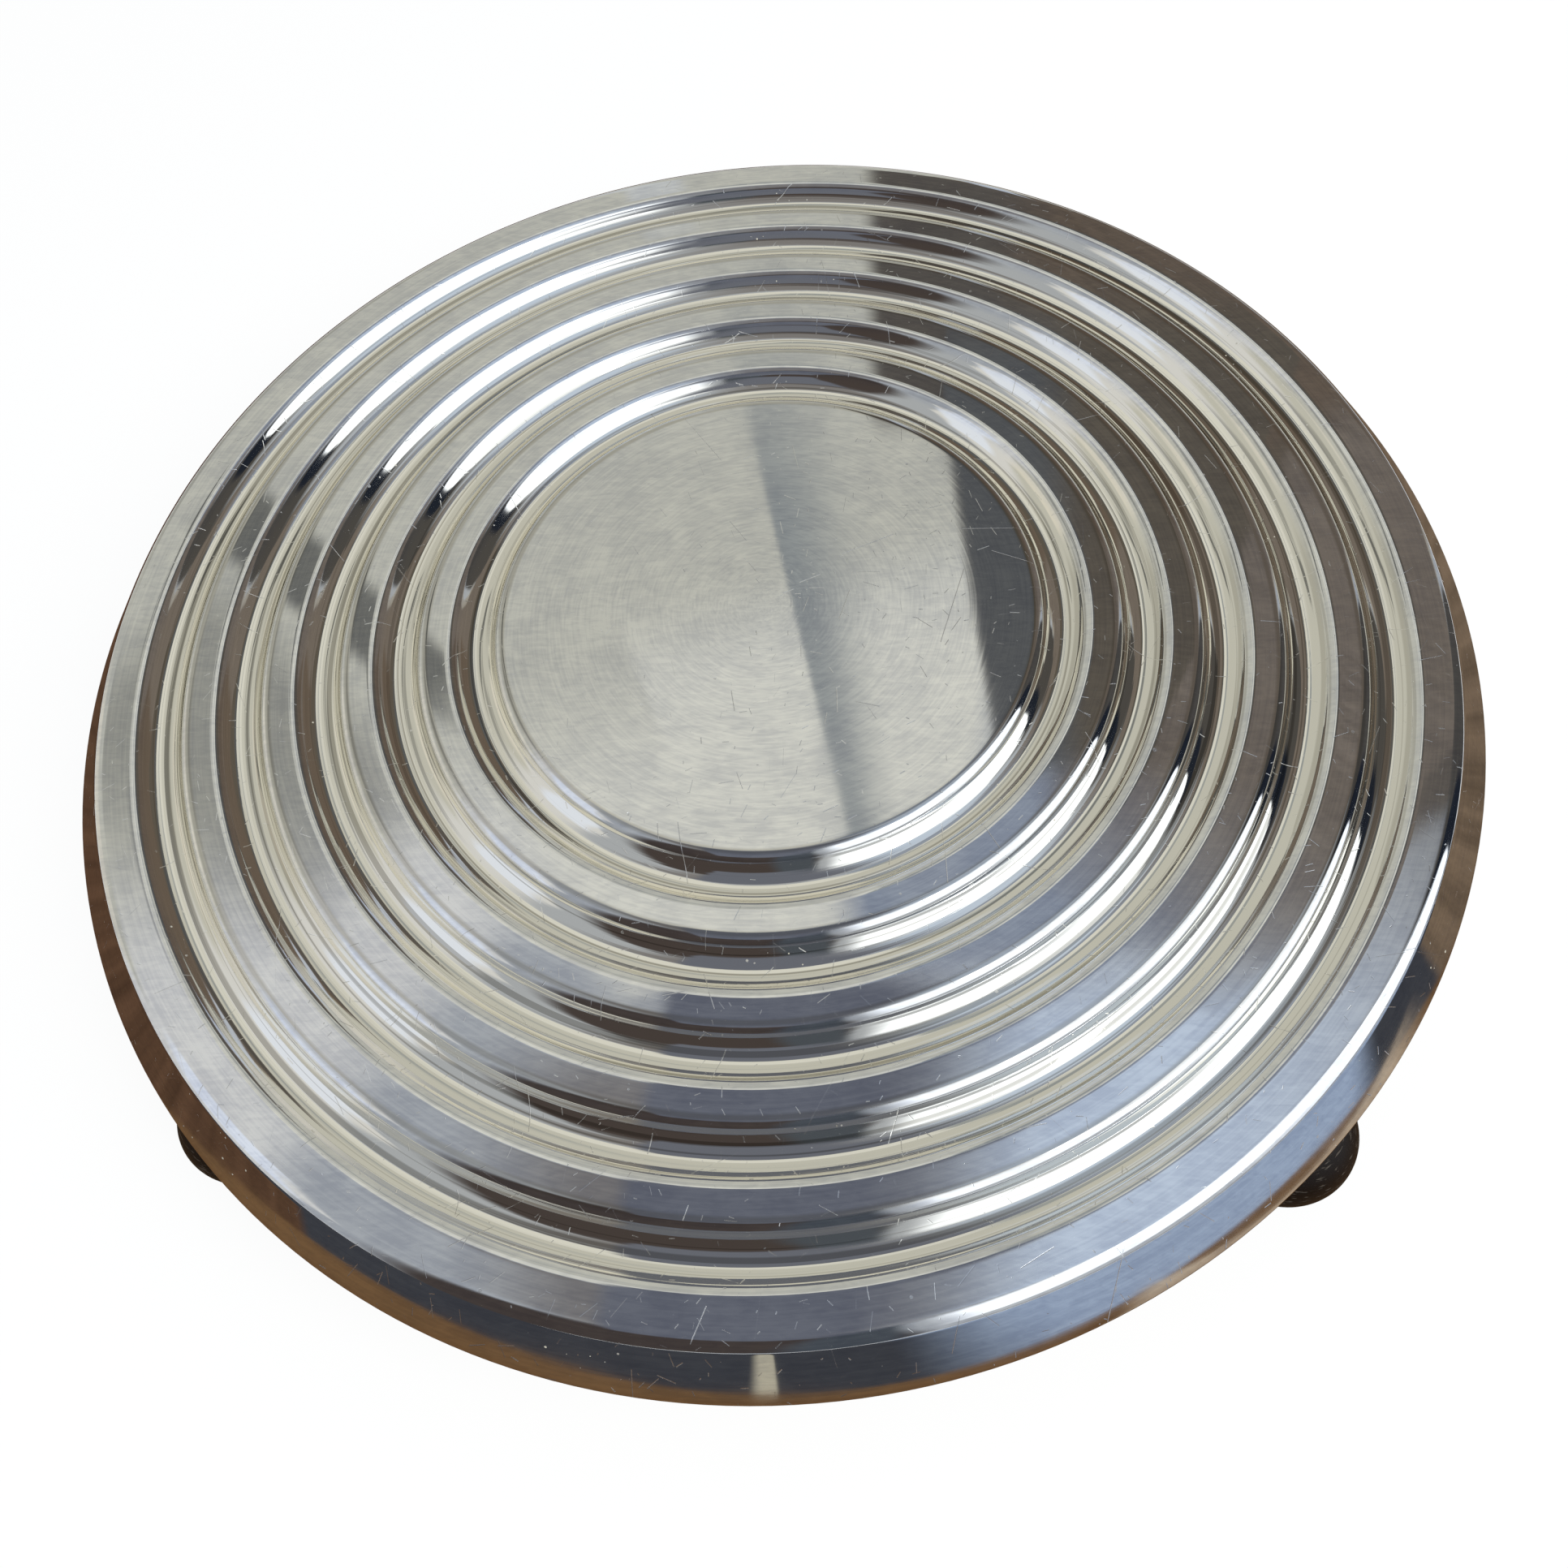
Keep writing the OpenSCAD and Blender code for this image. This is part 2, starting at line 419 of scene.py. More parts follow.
def silver_plate(finish, plate):
    """Silver plate on spun brass, buffed on the lathe

    To the eye: a warm mirror, with rings that the buff left in the grooves, hairlines and nicks
    from dishes with a pale tint that is partly painted sheen, a haze in patches, dried polish in the grooves,
    and brass along the rubbed edge that is partly a painted golden reflection.
    """
    material, tree = new_material("polished_silver_plate")
    place = add_node(tree, "ShaderNodeTexCoord").outputs["Object"]
    height = add_node(tree, "ShaderNodeSeparateXYZ", {"Vector": place}).outputs["Z"]
    # Millimetres from here on, so that each pattern's scale is one over its real size
    position = add_node(tree, "ShaderNodeVectorMath", {
        0: place,
        1: (1 / MM, 1 / MM, 1 / MM),
    }, operation="MULTIPLY").outputs["Vector"]
    flat = add_node(tree, "ShaderNodeVectorMath", {
        0: place,
        1: (1 / MM, 1 / MM, 0),
    }, operation="MULTIPLY").outputs["Vector"]
    radius = add_node(tree, "ShaderNodeVectorMath", {0: flat}, operation="LENGTH").outputs["Value"]
    edge = plate.diameter / 2 / MM

    # 1 low in a groove, on the skirt and below it, 0 on the lands
    low = add_node(tree, "ShaderNodeMapRange", {
        "Value": height,
        "From Min": plate.top_z - 0.1 * plate.groove_depth,
        "From Max": plate.top_z - 0.5 * plate.groove_depth,
    }).outputs["Result"]
    # 1 on the top shell down to its hem, 0 from the hem down
    above = add_node(tree, "ShaderNodeMath", {
        0: height,
        1: plate.skirt_end_z,
    }, operation="GREATER_THAN").outputs["Value"]
    # 1 low in a groove only: fades out over the shoulder, 7 to 9 mm in from the outside
    inside = add_node(tree, "ShaderNodeMapRange", {
        "Value": radius,
        "From Min": edge - 9,
        "From Max": edge - 7,
        "To Min": 1.0,
        "To Max": 0.0,
    })
    hollow = add_node(tree, "ShaderNodeMath", {0: inside.outputs["Result"], 1: above}, operation="MULTIPLY")
    hollow = add_node(tree, "ShaderNodeMath", {
        0: hollow.outputs["Value"],
        1: low,
    }, operation="MULTIPLY").outputs["Value"]

    # Rings of the spinning tool, about 1 mm apart, left in the grooves and almost buffed away elsewhere
    rings = add_node(tree, "ShaderNodeTexNoise", {
        "W": radius,
        "Scale": 1.0,
        "Detail": 2.0,
    }, noise_dimensions="1D").outputs["Fac"]
    ring_depth = add_node(tree, "ShaderNodeMapRange", {"Value": hollow, "To Min": 0.02})
    ridges = add_node(tree, "ShaderNodeMath", {
        0: rings,
        1: ring_depth.outputs["Result"],
    }, operation="MULTIPLY")
    # Haze in patches about 25 mm across, mottled every 6 mm
    patches = add_node(tree, "ShaderNodeTexNoise", {
        "Vector": position,
        "Scale": 1 / 25,
        "Detail": 2.0,
    }).outputs["Fac"]
    mottle = add_node(tree, "ShaderNodeTexNoise", {
        "Vector": position,
        "Scale": 1 / 6,
        "Detail": 5.0,
    }).outputs["Fac"]
    # Hairlines are 0.05 mm wide: drawn about twice as wide, to show in the render
    scratched = 0.0
    for cell, reach, width in ((19, 15, 0.09), (8, 6, 0.09), (4, 3, 0.08), (2.5, 1.2, 0.1)):
        scratched = add_node(tree, "ShaderNodeMath", {
            0: scratched,
            1: hairlines(tree, position, cell, reach, width),
        }, operation="MAXIMUM").outputs["Value"]
    # Nicks up to 0.6 mm across, in a few of their 6 mm cells
    marks = add_node(tree, "ShaderNodeMath", {
        0: scratched,
        1: dots(tree, position, 6, 0.3),
    }, operation="MAXIMUM").outputs["Value"]

    # Dried polish: crumbs up to 0.4 mm across, off the lands and only here and there
    here = add_node(tree, "ShaderNodeMapRange", {"Value": patches, "From Min": 0.58, "From Max": 0.62})
    crumbs = add_node(tree, "ShaderNodeMath", {0: low, 1: here.outputs["Result"]}, operation="MULTIPLY")
    crumbs = add_node(tree, "ShaderNodeMath", {
        0: crumbs.outputs["Value"],
        1: dots(tree, position, 1.6, 0.2),
    }, operation="MULTIPLY")
    # The same polish lies thinly in the scratches, and its pale tint there is also painted sheen that makes
    # them read light
    scratch_polish_and_sheen = add_node(tree, "ShaderNodeMath", {0: scratched, 1: 0.12}, operation="MULTIPLY")
    polish_and_sheen = add_node(tree, "ShaderNodeMath", {
        0: crumbs.outputs["Value"],
        1: scratch_polish_and_sheen.outputs["Value"],
    }, operation="MAXIMUM").outputs["Value"]

    # Lands dulled between the strokes
    strokes = add_node(tree, "ShaderNodeMath", {
        0: wiping_strokes(tree, position, flat, radius),
        1: mottle,
    }, operation="ADD")
    wiped = add_node(tree, "ShaderNodeMapRange", {
        "Value": strokes.outputs["Value"],
        "From Min": 1.2,
        "From Max": 1.8,
    })
    land = add_node(tree, "ShaderNodeMix", {
        "Factor": wiped.outputs["Result"],
        "A": finish.rubbed,
        "B": finish.dull,
    }, data_type="RGBA")
    # Tarnish in the deeper rings of the grooves; the same colour darkens a line just inside each inner lip
    ring_lines = add_node(tree, "ShaderNodeMapRange", {
        "Value": rings,
        "From Min": 0.57,
        "From Max": 0.63,
        "To Max": 0.9,
    })
    groove = add_node(tree, "ShaderNodeMix", {
        "Factor": ring_lines.outputs["Result"],
        "A": finish.silver,
        "B": finish.tarnish,
    }, data_type="RGBA")
    lips = add_node(tree, "ShaderNodeMath", {
        0: lip_lines(tree, radius, plate),
        1: above,
    }, operation="MULTIPLY")
    # Over the lands come the grooves, the lip lines, the brass on the hem (worn through, and partly a painted
    # golden reflection) and the dried polish with the painted sheen in the scratches
    colour = land.outputs["Result"]
    for share, over in (
            (hollow, groove.outputs["Result"]),
            (lips.outputs["Value"], finish.tarnish),
            (hem_wear_and_painted_gold(tree, radius, height, mottle, plate), finish.brass),
            (polish_and_sheen, finish.polish_and_sheen)):
        colour = add_node(tree, "ShaderNodeMix", {
            "Factor": share,
            "A": colour,
            "B": over,
        }, data_type="RGBA").outputs["Result"]
    metallic = add_node(tree, "ShaderNodeMath", {0: 1.0, 1: polish_and_sheen}, operation="SUBTRACT")

    # Rougher in the haze, and more so in marks and dried polish
    haze = add_node(tree, "ShaderNodeMapRange", {
        "Value": patches,
        "From Min": 0.35,
        "From Max": 0.7,
        "To Min": 0.03,
        "To Max": 0.07,
    })
    rough = add_node(tree, "ShaderNodeMath", {
        0: marks,
        1: 0.22,
        2: haze.outputs["Result"],
    }, operation="MULTIPLY_ADD")
    rough = add_node(tree, "ShaderNodeMath", {
        0: polish_and_sheen,
        1: 0.6,
        2: rough.outputs["Value"],
    }, operation="MULTIPLY_ADD")

    ridged = add_node(tree, "ShaderNodeBump", {
        "Height": ridges.outputs["Value"],
        "Strength": 1.0,
        "Distance": 0.04 * MM,
    })
    marked = add_node(tree, "ShaderNodeBump", {
        "Height": marks,
        "Strength": 0.6,
        "Distance": 0.015 * MM,
        "Normal": ridged.outputs["Normal"],
    }, invert=True)
    shader = add_node(tree, "ShaderNodeBsdfPrincipled", {
        "Base Color": colour,
        "Metallic": metallic.outputs["Value"],
        "Roughness": rough.outputs["Value"],
        "Normal": marked.outputs["Normal"],
    })
    add_node(tree, "ShaderNodeOutputMaterial", {"Surface": shader.outputs["BSDF"]})
    return material


def ebonised_wood(finish):
    """Close-grained wood turned to a ball, stained black and waxed

    To the eye: a satin brown-black with short pale pores that run round the ball, in faint tool rings.
    """
    material, tree = new_material("ebonised_turned_wood")
    place = add_node(tree, "ShaderNodeTexCoord").outputs["Object"]
    # Pores 1.6 mm long round the ball and 0.3 mm high
    pores_at = add_node(tree, "ShaderNodeMapping", {
        "Vector": place,
        "Scale": (1 / (1.6 * MM), 1 / (1.6 * MM), 1 / (0.3 * MM)),
    })
    pores = add_node(tree, "ShaderNodeTexNoise", {
        "Vector": pores_at.outputs["Vector"],
        "Scale": 1.0,
        "Detail": 1.0,
    })
    open_pore = add_node(tree, "ShaderNodeMapRange", {
        "Value": pores.outputs["Fac"],
        "From Min": 0.62,
        "From Max": 0.7,
    }).outputs["Result"]
    # Stain that took unevenly, in 5 mm patches up to 1.9 times as light
    lighter = 1.9
    stain = add_node(tree, "ShaderNodeTexNoise", {
        "Vector": place,
        "Scale": 1 / (5 * MM),
        "Detail": 3.0,
    }).outputs["Fac"]
    stained = add_node(tree, "ShaderNodeMix", {
        "Factor": stain,
        "A": finish.wood,
        "B": [lighter * share for share in finish.wood[:3]] + [1.0],
    }, data_type="RGBA")
    # The polish in the pores is thin
    pale = add_node(tree, "ShaderNodeMath", {0: open_pore, 1: 0.55}, operation="MULTIPLY")
    colour = add_node(tree, "ShaderNodeMix", {
        "Factor": pale.outputs["Value"],
        "A": stained.outputs["Result"],
        "B": finish.pore,
    }, data_type="RGBA")
    # Rings of the turning tool, in truth finer: the bands of a 10 mm wave lie 3.14 mm apart
    rings = add_node(tree, "ShaderNodeTexWave", {
        "Vector": place,
        "Scale": 1 / (10 * MM),
        "Distortion": 1.0,
    }, bands_direction="Z")
    rough = add_node(tree, "ShaderNodeMapRange", {
        "Value": stain,
        "From Min": 0.3,
        "From Max": 0.7,
        "To Min": 0.34,
        "To Max": 0.48,
    })
    ringed = add_node(tree, "ShaderNodeBump", {
        "Height": rings.outputs["Fac"],
        "Strength": 0.3,
        "Distance": 0.02 * MM,
    })
    pored = add_node(tree, "ShaderNodeBump", {
        "Height": open_pore,
        "Strength": 0.5,
        "Distance": 0.08 * MM,
        "Normal": ringed.outputs["Normal"],
    }, invert=True)
    shader = add_node(tree, "ShaderNodeBsdfPrincipled", {
        "Base Color": colour.outputs["Result"],
        "Roughness": rough.outputs["Result"],
        "IOR": 1.5,
        "Specular IOR Level": 0.2,
        "Normal": pored.outputs["Normal"],
    })
    add_node(tree, "ShaderNodeOutputMaterial", {"Surface": shader.outputs["BSDF"]})
    return material


def turned_brass(finish):
    """Brass turned from bar and never polished since

    To the eye: a dull yellow with brown tarnish in blotches and shallow marks of the tool.
    """
    material, tree = new_material("dull_turned_brass")
    place = add_node(tree, "ShaderNodeTexCoord").outputs["Object"]
    # Tarnish in 1.5 mm blotches
    blotches = add_node(tree, "ShaderNodeTexNoise", {
        "Vector": place,
        "Scale": 1 / (1.5 * MM),
        "Detail": 4.0,
    }).outputs["Fac"]
    colour = add_node(tree, "ShaderNodeMix", {
        "Factor": blotches,
        "A": finish.brass,
        "B": finish.brown,
    }, data_type="RGBA")
    rough = add_node(tree, "ShaderNodeMapRange", {
        "Value": blotches,
        "From Min": 0.3,
        "From Max": 0.7,
        "To Min": 0.22,
        "To Max": 0.5,
    })
    # Marks of the tool, in truth finer: the bands of a 3 mm wave lie 0.94 mm apart
    marks = add_node(tree, "ShaderNodeTexWave", {
        "Vector": place,
        "Scale": 1 / (3 * MM),
        "Distortion": 2.0,
    }, bands_direction="Z")
    tooled = add_node(tree, "ShaderNodeBump", {
        "Height": marks.outputs["Fac"],
        "Strength": 0.3,
        "Distance": 0.01 * MM,
    })
    shader = add_node(tree, "ShaderNodeBsdfPrincipled", {
        "Base Color": colour.outputs["Result"],
        "Metallic": 1.0,
        "Roughness": rough.outputs["Result"],
        "Normal": tooled.outputs["Normal"],
    })
    add_node(tree, "ShaderNodeOutputMaterial", {"Surface": shader.outputs["BSDF"]})
    return material


class TRIVET_OT_top_shell(bpy.types.Operator):
    """Spins the grooved top sheet with its shoulder, skirt and hem"""

    bl_idname = "trivet.top_shell"
    bl_label = "Top Shell"

    def execute(self, context):
        plate = context.scene.trivet_plate
        rim_r = plate.diameter / 2
        slope = plate.skirt_slope
        hem_r = plate.hem_t / 2
        hem_x = rim_r - hem_r
        hem_z = plate.skirt_end_z - hem_r * math.cos(slope)
        skirt_x = hem_x + hem_r * math.sin(slope)
        skirt_rise = plate.top_z - plate.skirt_end_z - plate.shoulder_r * (1 - math.cos(slope))
        shoulder_x = skirt_x - skirt_rise / math.tan(slope) - plate.shoulder_r * math.sin(slope)
        shoulder_z = plate.top_z - plate.shoulder_r
        half_w = plate.groove_w / 2
        lip_arc = (half_w ** 2 + plate.groove_depth ** 2) / (2 * plate.groove_depth)
        groove_r = lip_arc - plate.lip_r
        groove_z = plate.top_z - plate.groove_depth + groove_r
        lip_z = plate.top_z - plate.lip_r
        lip_turn = math.asin(half_w / lip_arc)
        radii = [rim_r - plate.groove_inset - i * plate.groove_pitch for i in range(plate.groove_count)]

        # Upper face, from the middle out
        outline = Profile(0, plate.top_z)
        for r in reversed(radii):
            outline.line(r - half_w, plate.top_z)
            outline.arc(r - half_w, lip_z, lip_turn, steps=10)
            outline.arc(r, groove_z, -2 * lip_turn, steps=22)
            outline.arc(r + half_w, lip_z, lip_turn, steps=10)
        outline.line(shoulder_x, plate.top_z)
        outline.arc(shoulder_x, shoulder_z, slope, steps=12)

        # Skirt, then over the hem and up inside it to the cut end of the sheet
        outline.line(skirt_x, plate.skirt_end_z)
        outline.arc(hem_x, hem_z, math.pi / 2 - slope, steps=8)
        outline.line(rim_r, plate.hem_end_z + hem_r)
        outline.arc(hem_x, plate.hem_end_z + hem_r, math.pi, steps=14)
        outline.line(rim_r - plate.hem_t, plate.skirt_end_z)

        # Under face, from the outside in, coarser because the base plate hides it
        inner_z = plate.top_z - plate.sheet
        inner_arc = plate.shoulder_r - plate.sheet
        outline.line(skirt_x - plate.sheet / math.sin(slope), plate.skirt_end_z)
        outline.line(shoulder_x + inner_arc * math.sin(slope), shoulder_z + inner_arc * math.cos(slope))
        outline.arc(shoulder_x, shoulder_z, -slope, steps=4)
        for r in radii:
            outline.line(r + half_w, inner_z)
            outline.arc(r + half_w, lip_z, -lip_turn, steps=3)
            outline.arc(r, groove_z, 2 * lip_turn, steps=8)
            outline.arc(r - half_w, lip_z, -lip_turn, steps=3)
        outline.line(0, inner_z)
        finish = silver_plate(context.scene.trivet_finish, plate)
        make_piece("spun_top_shell", outline.spin(plate.spin_steps), finish, "top_shell")
        return {"FINISHED"}


class TRIVET_OT_base_plate(bpy.types.Operator):
    """Spins the flat sheet that closes the underside"""

    bl_idname = "trivet.base_plate"
    bl_label = "Base Plate"

    def execute(self, context):
        plate = context.scene.trivet_plate
        radius = base_high.x
        outline = Profile(0, base_high.z)
        outline.line(radius, base_high.z)
        outline.line(radius, base_low.z)
        outline.line(0, base_low.z)
        sheet = soften(outline.spin(plate.spin_steps), width=0.15 * MM)
        finish = silver_plate(context.scene.trivet_finish, plate)
        make_piece("flat_base_plate", sheet, finish, "base_plate")
        return {"FINISHED"}


class TRIVET_OT_collars(bpy.types.Operator):
    """Spins the short threaded collars soldered under the base plate"""

    bl_idname = "trivet.collars"
    bl_label = "Collars"

    def execute(self, context):
        feet = context.scene.trivet_feet
        finish = silver_plate(context.scene.trivet_finish, context.scene.trivet_plate)
        for corner in CORNERS:
            collar = tube(feet.thread_d, feet.collar_d, collar_low.z, collar_high.z, edge=0.2 * MM)
            make_piece(
                f"plated_collar_{corner}", collar, finish, f"collar_{corner}",
                foot_place(corner))
        return {"FINISHED"}


class TRIVET_OT_feet(bpy.types.Operator):
    """Turns the four ball feet"""

    bl_idname = "trivet.feet"
    bl_label = "Ball Feet"

    def execute(self, context):
        feet = context.scene.trivet_feet
        finish = ebonised_wood(context.scene.trivet_finish)
        ball_r = feet.ball_d / 2
        ball_z = math.sqrt(ball_r ** 2 - (feet.stand_d / 2) ** 2)
        from_top = math.asin(feet.collar_d / feet.ball_d)
        from_bottom = math.asin(feet.stand_d / feet.ball_d)
        for corner in CORNERS:
            outline = Profile(feet.bore_d / 2, foot_high.z)
            outline.line(feet.collar_d / 2, foot_high.z)
            outline.arc(0, ball_z, math.pi - from_top - from_bottom, steps=40)
            outline.line(feet.recess_d / 2, foot_low.z)
            outline.line(feet.recess_d / 2, washer_high.z)
            outline.line(feet.bore_d / 2, washer_high.z)
            outline.close()
            ball = soften(outline.spin(steps=96), width=0.25 * MM)
            make_piece(
                f"turned_ball_{corner}", ball, finish, f"foot_{corner}",
                foot_place(corner))
        return {"FINISHED"}


class TRIVET_OT_fasteners(bpy.types.Operator):
    """Makes the washer and the slotted screw in each foot"""

    bl_idname = "trivet.fasteners"
    bl_label = "Foot Screws"

    def execute(self, context):
        feet = context.scene.trivet_feet
        finish = turned_brass(context.scene.trivet_finish)
        for corner in CORNERS:
            place = foot_place(corner)
            washer = tube(feet.bore_d, feet.washer_d, washer_low.z, washer_high.z, edge=0.1 * MM)
            make_piece(f"brass_washer_{corner}", washer, finish, f"foot_washer_{corner}", place)
            screw = self.screw(feet)
            make_piece(f"brass_screw_{corner}", screw, finish, f"foot_screw_{corner}", place)
        return {"FINISHED"}

    def screw(self, feet):
        """A screw that stands on its slotted head, from the slot's floor down and then up to the tip"""
        slot_z = screw_low.z + feet.slot_depth
        bm = bmesh.new()
        bmesh.ops.create_circle(
            bm, cap_ends=True, radius=feet.head_d / 2, segments=SMALL_STEPS,
            matrix=Matrix.Translation((0, 0, slot_z)))
        for side in (-1, 1):
            bmesh.ops.bisect_plane(
                bm, geom=bm.verts[:] + bm.edges[:] + bm.faces[:],
                plane_co=(0, side * feet.slot_w / 2, 0), plane_no=(0, 1, 0))
        loop = [edge for edge in bm.edges if edge.is_boundary]
        cheeks = [face for face in bm.faces if abs(face.calc_center_median().y) > feet.slot_w / 2]
        lowered = bmesh.ops.extrude_face_region(bm, geom=cheeks)["geom"]
        verts = [item for item in lowered if isinstance(item, bmesh.types.BMVert)]
        bmesh.ops.translate(bm, vec=(0, 0, -feet.slot_depth), verts=verts)
        loop = self.grow(bm, loop, feet.head_h - feet.slot_depth, 1)
        loop = self.grow(bm, loop, 0, feet.shank_d / feet.head_d)
        loop = self.grow(bm, loop, screw_high.z - screw_low.z - feet.head_h, 1)
        bmesh.ops.contextual_create(bm, geom=loop)
        bmesh.ops.recalc_face_normals(bm, faces=bm.faces)
        return soften(bm, width=0.08 * MM)

    def grow(self, bm, loop, rise, spread):
        """Extrudes a loop of edges up and towards or away from the axis, and returns the new loop"""
        made = bmesh.ops.extrude_edge_only(bm, edges=loop)["geom"]
        verts = [item for item in made if isinstance(item, bmesh.types.BMVert)]
        bmesh.ops.translate(bm, vec=(0, 0, rise), verts=verts)
        bmesh.ops.scale(bm, vec=(spread, spread, 1), verts=verts)
        edges = [item for item in made if isinstance(item, bmesh.types.BMEdge)]
        return [edge for edge in edges if all(vert in verts for vert in edge.verts)]


class TRIVET_OT_stage(bpy.types.Operator):
    """Sets the floor, the light and the camera"""

    bl_idname = "trivet.stage"
    bl_label = "Studio"

    # Side of the floor and its glow, which with the light on it is white to the eye
    floor_side = 8
    floor_glow = 0.86
    # Size, power and distance of the soft lamp, how far round to the right and how far from overhead
    lamp_size = 1.2
    lamp_power = 14
    lamp_distance = 1.5
    lamp_turn = math.radians(131)
    lamp_tilt = math.radians(40)
    # Softness of a card's edge that is left hard
    hard_edge = 0.1 * MM

    def execute(self, context):
        scene = context.scene
        scene.view_settings.view_transform = "Standard"
        self.turn = Matrix.Rotation(scene.trivet_view.turn, 4, "Z")
        self.top_z = scene.trivet_plate.top_z
        self.world(scene)
        self.floor()
        self.lamp(scene)
        self.standing_cards()
        self.overhead_cards()
        self.floor_cards()
        self.camera(scene)
        return {"FINISHED"}

    def world(self, scene):
        """Plain light from all round"""
        world = bpy.data.worlds.new("pale_surround")
        world.use_nodes = True
        tree = world.node_tree
        tree.nodes.clear()
        light = add_node(tree, "ShaderNodeBackground", {"Color": linear("#A8ADB4"), "Strength": 1.0})
        add_node(tree, "ShaderNodeOutputWorld", {"Surface": light.outputs["Background"]})
        scene.world = world

    def floor(self):
        """A wide floor that is white to the eye and to metal, and keeps a faint shadow"""
        floor = self.plane("pale_floor", self.floor_side, self.floor_side)
        material, tree = new_material("matt_white_floor")
        path = add_node(tree, "ShaderNodeLightPath")
        seen = add_node(tree, "ShaderNodeMath", {
            0: path.outputs["Is Camera Ray"],
            1: path.outputs["Is Glossy Ray"],
        }, operation="ADD")
        seen = add_node(tree, "ShaderNodeMath", {
            0: seen.outputs["Value"],
            1: path.outputs["Is Transmission Ray"],
        }, operation="ADD", use_clamp=True)
        glow = add_node(tree, "ShaderNodeMath", {
            0: seen.outputs["Value"],
            1: self.floor_glow,
        }, operation="MULTIPLY")
        shader = add_node(tree, "ShaderNodeBsdfPrincipled", {
            "Base Color": linear("#787876"),
            "Roughness": 1.0,
            "Specular IOR Level": 0.0,
            "Emission Color": (1, 1, 1, 1),
            "Emission Strength": glow.outputs["Value"],
        })
        add_node(tree, "ShaderNodeOutputMaterial", {"Surface": shader.outputs["BSDF"]})
        floor.data.materials.append(material)

    def lamp(self, scene):
        """One large soft lamp, to the right of the camera"""
        data = bpy.data.lights.new("soft_lamp", "AREA")
        data.size = self.lamp_size
        data.energy = self.lamp_power
        lamp = bpy.data.objects.new("soft_lamp", data)
        lamp.matrix_world = (
            self.turn
            @ Matrix.Rotation(-self.lamp_turn, 4, "Z")
            @ Matrix.Rotation(-self.lamp_tilt, 4, "X")
            @ Matrix.Translation((0, 0, self.lamp_distance)))
        lamp.visible_glossy = False
        scene.collection.objects.link(lamp)

    def plane(self, name, width, depth, round_edge=False):
        """A flat stage piece about the origin"""
        bm = bmesh.new()
        if round_edge:
            bmesh.ops.create_circle(bm, cap_ends=True, radius=0.5, segments=96)
        else:
            bmesh.ops.create_grid(bm, x_segments=1, y_segments=1, size=0.5)
        bmesh.ops.scale(bm, vec=(width, depth, 1), verts=bm.verts)
        mesh = bpy.data.meshes.new(name)
        bm.to_mesh(mesh)
        bm.free()
        plane = bpy.data.objects.new(name, mesh)
        bpy.context.scene.collection.objects.link(plane)
        return plane

    def card(self, name, colour, place, width, depth, soft, cover, strength, grain, round_edge=False):
        """A glowing card that only mirrors see; soft gives the fades at its left, right, foot and head"""
        card = self.plane(name, width, depth, round_edge)
        card.matrix_world = self.turn @ place
        card.visible_camera = False
        card.visible_diffuse = False
        card.visible_shadow = False
        card.visible_transmission = False
        material, tree = new_material(name)
        material.cycles.emission_sampling = "NONE"
        spot = add_node(tree, "ShaderNodeTexCoord").outputs["Object"]
        apart = add_node(tree, "ShaderNodeSeparateXYZ", {"Vector": spot})
        share = cover
        for axis, half, fades in (("X", width / 2, soft[:2]), ("Y", depth / 2, soft[2:])):
            for side, fade in zip((-1, 1), fades):
                edge = add_node(tree, "ShaderNodeMapRange", {
                    "Value": apart.outputs[axis],
                    "From Min": side * half,
                    "From Max": side * (half - max(fade, self.hard_edge)),
                }, interpolation_type="SMOOTHSTEP")
                share = add_node(tree, "ShaderNodeMath", {
                    0: edge.outputs["Result"],
                    1: share,
                }, operation="MULTIPLY").outputs["Value"]
        if grain:
            # Streaks 6 mm apart and 200 mm long
            streaks_at = add_node(tree, "ShaderNodeMapping", {
                "Vector": spot,
                "Scale": (1 / (200 * MM), 1 / (6 * MM), 1),
            })
            streaks = add_node(tree, "ShaderNodeTexNoise", {
                "Vector": streaks_at.outputs["Vector"],
                "Scale": 1.0,
                "Detail": 3.0,
            })
            strength = add_node(tree, "ShaderNodeMapRange", {
                "Value": streaks.outputs["Fac"],
                "From Min": 0.3,
                "From Max": 0.7,
                "To Min": strength - grain,
                "To Max": strength + grain,
            }).outputs["Result"]
        light = add_node(tree, "ShaderNodeEmission", {"Color": linear(colour), "Strength": strength})
        clear = add_node(tree, "ShaderNodeBsdfTransparent")
        mixed = add_node(tree, "ShaderNodeMixShader", {
            0: share,
            1: clear.outputs["BSDF"],
            2: light.outputs["Emission"],
        })
        add_node(tree, "ShaderNodeOutputMaterial", {"Surface": mixed.outputs["Shader"]})
        card.data.materials.append(material)

    def standing(
            self, name, colour, facing, distance, sides, heights, soft,
            cover=1.0, strength=1.0, lean=0, grain=0.0):
        """A standing card, in metres and degrees

        It stands in the direction facing and fills the directions between its two sides and its two
        heights, seen from the middle of the plate's top and counted to the right and up.
        """
        left, right = (distance * math.tan(math.radians(side - facing)) for side in sides)
        low, high = (self.top_z + distance * math.tan(math.radians(height)) for height in heights)
        place = (
            Matrix.Rotation(math.radians(-facing), 4, "Z")
            @ Matrix.Translation(((left + right) / 2, distance, (low + high) / 2))
            @ Matrix.Rotation(math.pi / 2, 4, "X")
            @ Matrix.Rotation(math.radians(-lean), 4, "Z"))
        self.card(name, colour, place, right - left, high - low, soft, cover, strength, grain)

